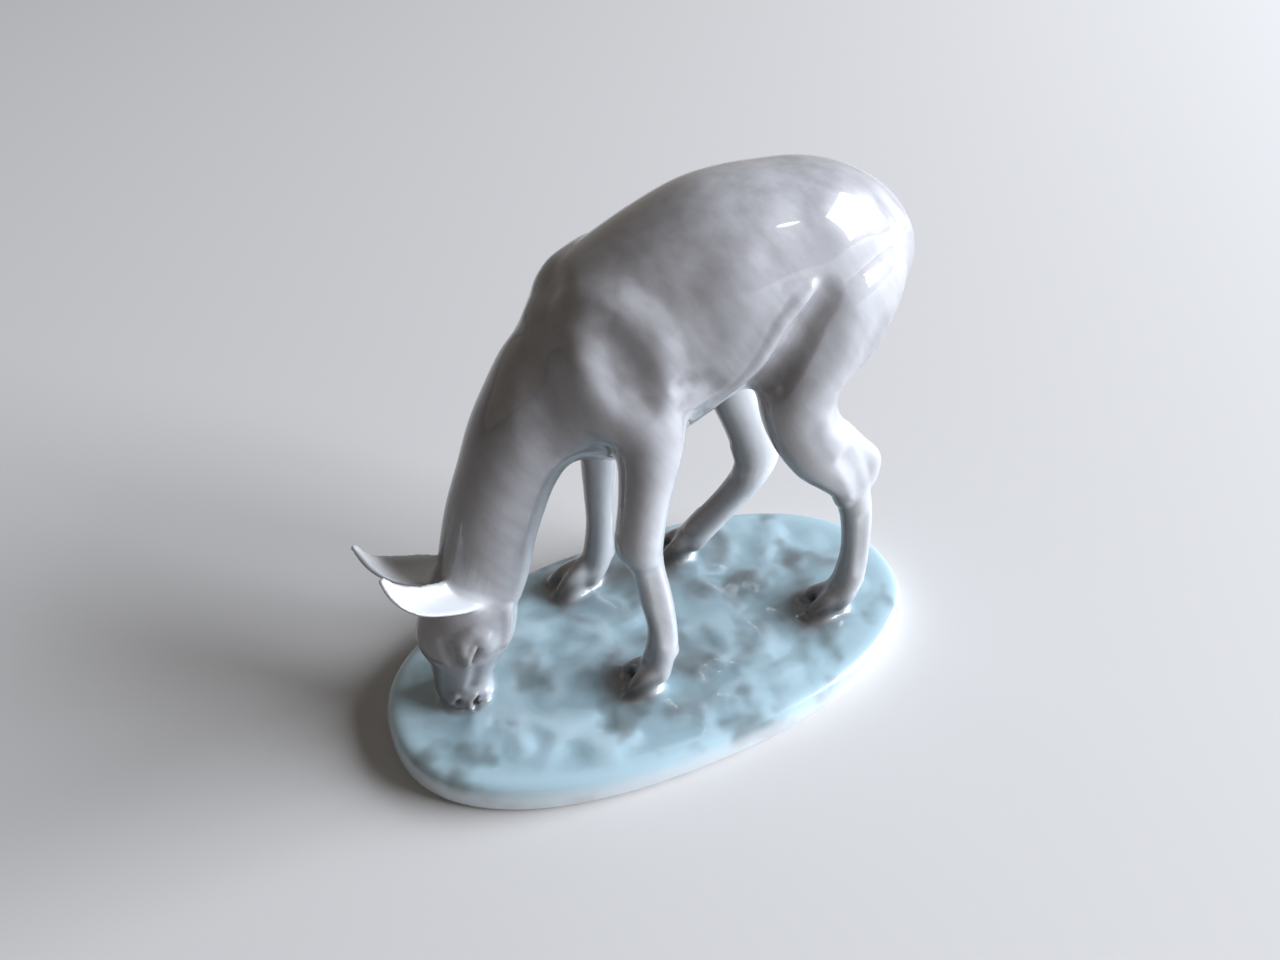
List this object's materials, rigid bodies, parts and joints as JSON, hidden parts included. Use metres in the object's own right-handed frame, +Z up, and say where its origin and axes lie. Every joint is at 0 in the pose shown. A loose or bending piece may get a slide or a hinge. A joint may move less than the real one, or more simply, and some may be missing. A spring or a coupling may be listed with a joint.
{
  "type": "grazing deer figurine",
  "caption": "Glazed porcelain figurine of a young deer grazing with its muzzle to the ground, modelled in one piece with a low oval plinth.",
  "frame": {"origin": "on the table under the middle of the oval plinth", "axes": "+Z up, X along the plinth's long axis with the animal facing -X, its left side towards -Y"},
  "size_m": [0.17, 0.088, 0.157],
  "materials": {
    "glazed_porcelain": "underglaze colour sprayed in grey-brown and blue-grey over white porcelain, under a clear gloss glaze"
  },
  "bodies": {
    "root": {"figurine": "glazed_porcelain"}
  },
  "joints": []
}
